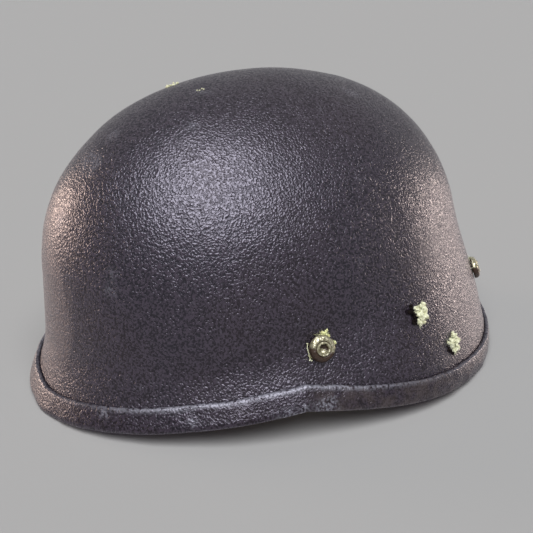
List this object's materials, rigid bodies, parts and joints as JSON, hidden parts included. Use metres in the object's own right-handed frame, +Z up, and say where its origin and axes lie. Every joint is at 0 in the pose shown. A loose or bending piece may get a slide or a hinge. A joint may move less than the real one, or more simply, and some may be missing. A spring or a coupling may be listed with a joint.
{
  "type": "ballistic helmet",
  "caption": "Ballistic helmet: flared composite bowl with rubber edge trim, bolted webbing suspension, dial-adjusted headband and a folded two-part chin strap.",
  "frame": {"origin": "on the resting plane, below the middle of the helmet, half way between its front and rear edges and between its sides", "axes": "+Z up through the crown, -Y to the front, +X to the wearer's left"},
  "size_m": [0.242, 0.281, 0.16],
  "materials": {
    "shell": "pebbled near-black paint, satin",
    "edge_rubber": "rubber under the same pebbled paint",
    "bolt_olive": "olive brown paint worn to brass",
    "steel": "zinc plated, dull",
    "spacer_rubber": "matte",
    "webbing": "woven webbing",
    "pad_leather": "soft leather, satin",
    "black_plastic": "moulded, fine grain"
  },
  "bodies": {
    "helmet": {"shell": "shell", "edge_trim": "edge_rubber", "temple_bolts": "bolt_olive", "rear_bolts": "bolt_olive", "wall_spacers": "spacer_rubber", "temple_post_nuts": "steel", "rear_post_nuts": "steel", "temple_washers": "steel", "suspension_band": "webbing", "crown_strap_centre": "webbing", "crown_strap_left": "webbing", "crown_strap_right": "webbing", "crown_pad": "pad_leather", "headband": "black_plastic", "sweatband": "pad_leather", "headband_clips": "black_plastic", "nape_pad": "pad_leather", "dial_housing": "black_plastic", "rack_keepers": "black_plastic"},
    "left_strap": {"chin_bracket_left": "steel", "chin_strap_left": "webbing", "buckle_socket": "black_plastic"},
    "right_strap": {"chin_bracket_right": "steel", "chin_strap_right": "webbing", "chin_cup": "pad_leather", "buckle_plug": "black_plastic"},
    "left_slider": {"strap_slider_left": "black_plastic"},
    "right_slider": {"strap_slider_right": "black_plastic"},
    "dial": {"dial_pinion": "steel", "dial_knob": "black_plastic"},
    "left_rack": {"rack_left": "black_plastic"},
    "right_rack": {"rack_right": "black_plastic"}
  },
  "joints": [
    {"name": "left_strap_swing", "type": "hinge", "parent": "helmet", "child": "left_strap", "pos_m": [0.08387, -0.03136, 0.03603], "axis": [-0.9257, 0.2618, -0.2731], "range_deg": [0, 90]},
    {"name": "right_strap_swing", "type": "hinge", "parent": "helmet", "child": "right_strap", "pos_m": [-0.08387, -0.03136, 0.03603], "axis": [-0.9257, -0.2618, 0.2731], "range_deg": [0, 90]},
    {"name": "left_slider_shift", "type": "slide", "parent": "left_strap", "child": "left_slider", "axis": [0.1748, 0.9489, -0.2628], "range_m": [-0.0025, 0.0025]},
    {"name": "right_slider_shift", "type": "slide", "parent": "right_strap", "child": "right_slider", "axis": [-0.1035, 0.9682, -0.2279], "range_m": [-0.0025, 0.0025]},
    {"name": "dial_turn", "type": "hinge", "parent": "helmet", "child": "dial", "pos_m": [0, 0.1, 0.035], "axis": [0, 1, 0], "range_deg": [-82.51, 82.51]},
    {"name": "left_rack_draw", "type": "hinge", "parent": "helmet", "child": "left_rack", "pos_m": [0, 0.03128, 0.035], "axis": [0, 0, 1], "range_deg": [-8, 8]},
    {"name": "right_rack_draw", "type": "hinge", "parent": "helmet", "child": "right_rack", "pos_m": [0, 0.03128, 0.035], "axis": [0, 0, 1], "range_deg": [-8, 8]}
  ],
  "couplings": [
    {"joint": "left_rack_draw", "follows": "dial_turn", "ratio": 0.093393},
    {"joint": "right_rack_draw", "follows": "dial_turn", "ratio": -0.090551}
  ]
}
